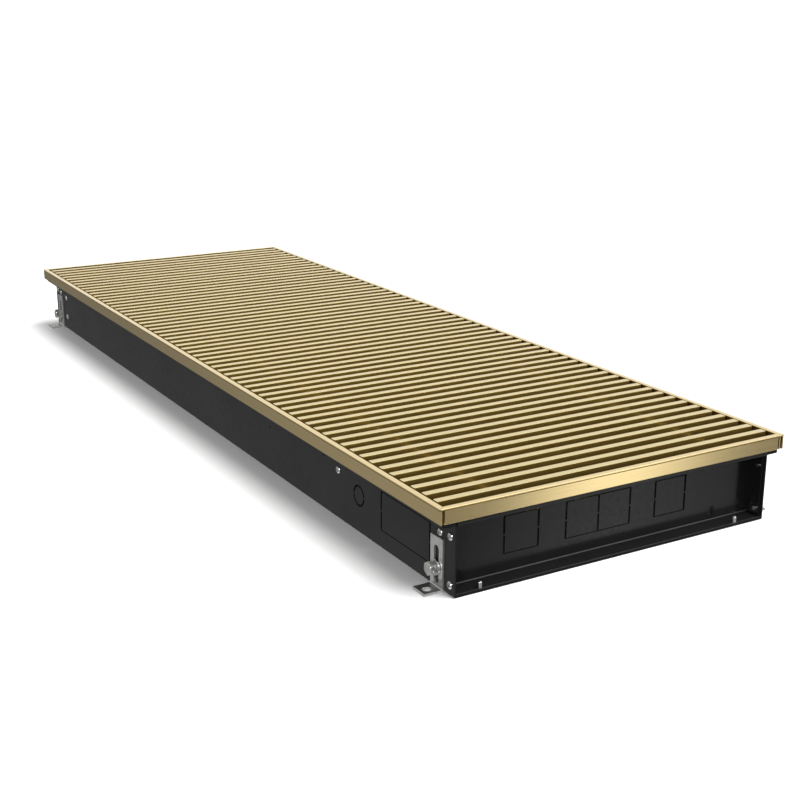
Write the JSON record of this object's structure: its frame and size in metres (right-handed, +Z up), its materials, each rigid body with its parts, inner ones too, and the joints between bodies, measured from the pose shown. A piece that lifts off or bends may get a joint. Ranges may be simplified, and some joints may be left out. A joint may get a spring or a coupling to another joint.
{
  "type": "trench convector heater",
  "caption": "Shallow black steel trench heater with a finned copper coil, gold anodised edge frame, roll-up grille of cross slats and adjustable side feet.",
  "frame": {"origin": "under the middle of the trough, on the plane it stands on", "axes": "+X along the trough towards the pipe connection end, +Y across it to the right-hand long side, +Z up through the grille"},
  "size_m": [1, 0.3452, 0.074],
  "materials": {
    "black_powder_coat": "satin powder coat on sheet steel",
    "gold_anodised": "satin gold anodised extrusion",
    "gold_anodised_slat": "satin gold anodised extrusion",
    "rubber": "matt black rubber",
    "fin_aluminium": "mill-finish fin sheet",
    "copper_tube": "bare copper tube, slightly tarnished",
    "brass": "turned brass",
    "galvanised_steel": "galvanised sheet",
    "zinc_plate": "bright zinc plate",
    "rivet_steel": "polished rivet"
  },
  "bodies": {
    "housing": {"trough": "black_powder_coat", "end_panel_front": "black_powder_coat", "end_panel_rear": "black_powder_coat", "cross_brace_front": "black_powder_coat", "cross_brace_rear": "black_powder_coat", "frame_profile_left": "gold_anodised", "frame_profile_right": "gold_anodised", "frame_profile_front": "gold_anodised", "frame_profile_rear": "gold_anodised", "grille_rest_strip_left": "rubber", "grille_rest_strip_right": "rubber", "coil_fin_pack": "fin_aluminium", "coil_hairpin_tube": "copper_tube", "coil_union_supply": "brass", "coil_union_return": "brass", "bleed_valve_body": "brass", "coil_end_plate_front": "galvanised_steel", "coil_end_plate_rear": "galvanised_steel", "coil_rubber_pad_front": "rubber", "coil_rubber_pad_rear": "rubber", "air_guide_left": "galvanised_steel", "air_guide_right": "galvanised_steel", "foot_washer_front_left": "zinc_plate", "foot_washer_front_right": "zinc_plate", "foot_washer_rear_left": "zinc_plate", "foot_washer_rear_right": "zinc_plate", "wall_rivet_front_left_upper": "rivet_steel", "wall_rivet_front_left_lower": "rivet_steel", "wall_rivet_front_left_inner": "rivet_steel", "wall_rivet_front_right_upper": "rivet_steel", "wall_rivet_front_right_lower": "rivet_steel", "wall_rivet_front_right_inner": "rivet_steel", "wall_rivet_rear_left_upper": "rivet_steel", "wall_rivet_rear_left_lower": "rivet_steel", "wall_rivet_rear_left_inner": "rivet_steel", "wall_rivet_rear_right_upper": "rivet_steel", "wall_rivet_rear_right_lower": "rivet_steel", "wall_rivet_rear_right_inner": "rivet_steel", "floor_rivet_front_a": "rivet_steel", "floor_rivet_front_b": "rivet_steel", "floor_rivet_rear_a": "rivet_steel", "floor_rivet_rear_b": "rivet_steel"},
    "grille_1": {"grille_section_1": "gold_anodised_slat"},
    "grille_2": {"grille_section_2": "gold_anodised_slat"},
    "grille_3": {"grille_section_3": "gold_anodised_slat"},
    "grille_4": {"grille_section_4": "gold_anodised_slat"},
    "grille_5": {"grille_section_5": "gold_anodised_slat"},
    "grille_6": {"grille_section_6": "gold_anodised_slat"},
    "grille_7": {"grille_section_7": "gold_anodised_slat"},
    "grille_8": {"grille_section_8": "gold_anodised_slat"},
    "grille_9": {"grille_section_9": "gold_anodised_slat"},
    "foot_front_left": {"foot_bracket_front_left": "zinc_plate"},
    "foot_front_right": {"foot_bracket_front_right": "zinc_plate"},
    "foot_rear_left": {"foot_bracket_rear_left": "zinc_plate"},
    "foot_rear_right": {"foot_bracket_rear_right": "zinc_plate"},
    "bolt_front_left": {"foot_bolt_front_left": "zinc_plate"},
    "bolt_front_right": {"foot_bolt_front_right": "zinc_plate"},
    "bolt_rear_left": {"foot_bolt_rear_left": "zinc_plate"},
    "bolt_rear_right": {"foot_bolt_rear_right": "zinc_plate"},
    "bleed_screw": {"bleed_valve_screw": "brass"}
  },
  "joints": [
    {"name": "grille_lift", "type": "slide", "parent": "housing", "child": "grille_1", "axis": [0, 0, 1], "range_m": [0, 0.12]},
    {"name": "grille_roll_1", "type": "hinge", "parent": "grille_1", "child": "grille_2", "pos_m": [-0.37765, 0, 0.067], "axis": [0, -1, 0], "range_deg": [0, 36]},
    {"name": "grille_roll_2", "type": "hinge", "parent": "grille_2", "child": "grille_3", "pos_m": [-0.26515, 0, 0.067], "axis": [0, -1, 0], "range_deg": [0, 36]},
    {"name": "grille_roll_3", "type": "hinge", "parent": "grille_3", "child": "grille_4", "pos_m": [-0.15266, 0, 0.067], "axis": [0, -1, 0], "range_deg": [0, 36]},
    {"name": "grille_roll_4", "type": "hinge", "parent": "grille_4", "child": "grille_5", "pos_m": [-0.04018, 0, 0.067], "axis": [0, -1, 0], "range_deg": [0, 36]},
    {"name": "grille_roll_5", "type": "hinge", "parent": "grille_5", "child": "grille_6", "pos_m": [0.07232, 0, 0.067], "axis": [0, -1, 0], "range_deg": [0, 36]},
    {"name": "grille_roll_6", "type": "hinge", "parent": "grille_6", "child": "grille_7", "pos_m": [0.1848, 0, 0.067], "axis": [0, -1, 0], "range_deg": [0, 36]},
    {"name": "grille_roll_7", "type": "hinge", "parent": "grille_7", "child": "grille_8", "pos_m": [0.29729, 0, 0.067], "axis": [0, -1, 0], "range_deg": [0, 36]},
    {"name": "grille_roll_8", "type": "hinge", "parent": "grille_8", "child": "grille_9", "pos_m": [0.39371, 0, 0.067], "axis": [0, -1, 0], "range_deg": [0, 36]},
    {"name": "foot_height_front_left", "type": "slide", "parent": "housing", "child": "foot_front_left", "axis": [0, 0, 1], "range_m": [-0.014, 0]},
    {"name": "foot_height_front_right", "type": "slide", "parent": "housing", "child": "foot_front_right", "axis": [0, 0, 1], "range_m": [-0.014, 0]},
    {"name": "foot_height_rear_left", "type": "slide", "parent": "housing", "child": "foot_rear_left", "axis": [0, 0, 1], "range_m": [-0.014, 0]},
    {"name": "foot_height_rear_right", "type": "slide", "parent": "housing", "child": "foot_rear_right", "axis": [0, 0, 1], "range_m": [-0.014, 0]},
    {"name": "foot_bolt_turn_front_left", "type": "hinge", "parent": "housing", "child": "bolt_front_left", "pos_m": [0.4748, -0.155, 0.0176], "axis": [0, -1, 0], "continuous": true},
    {"name": "foot_bolt_turn_front_right", "type": "hinge", "parent": "housing", "child": "bolt_front_right", "pos_m": [0.4748, 0.155, 0.0176], "axis": [0, 1, 0], "continuous": true},
    {"name": "foot_bolt_turn_rear_left", "type": "hinge", "parent": "housing", "child": "bolt_rear_left", "pos_m": [-0.4748, -0.155, 0.0176], "axis": [0, -1, 0], "continuous": true},
    {"name": "foot_bolt_turn_rear_right", "type": "hinge", "parent": "housing", "child": "bolt_rear_right", "pos_m": [-0.4748, 0.155, 0.0176], "axis": [0, 1, 0], "continuous": true},
    {"name": "bleed_screw_turn", "type": "hinge", "parent": "housing", "child": "bleed_screw", "pos_m": [0.416, 0.015, 0.045], "axis": [0, 0, 1], "range_deg": [0, 360]}
  ],
  "couplings": [
    {"joint": "grille_roll_2", "follows": "grille_roll_1", "ratio": 1},
    {"joint": "grille_roll_3", "follows": "grille_roll_1", "ratio": 1},
    {"joint": "grille_roll_4", "follows": "grille_roll_1", "ratio": 1},
    {"joint": "grille_roll_5", "follows": "grille_roll_1", "ratio": 1},
    {"joint": "grille_roll_6", "follows": "grille_roll_1", "ratio": 1},
    {"joint": "grille_roll_7", "follows": "grille_roll_1", "ratio": 1},
    {"joint": "grille_roll_8", "follows": "grille_roll_1", "ratio": 1}
  ]
}
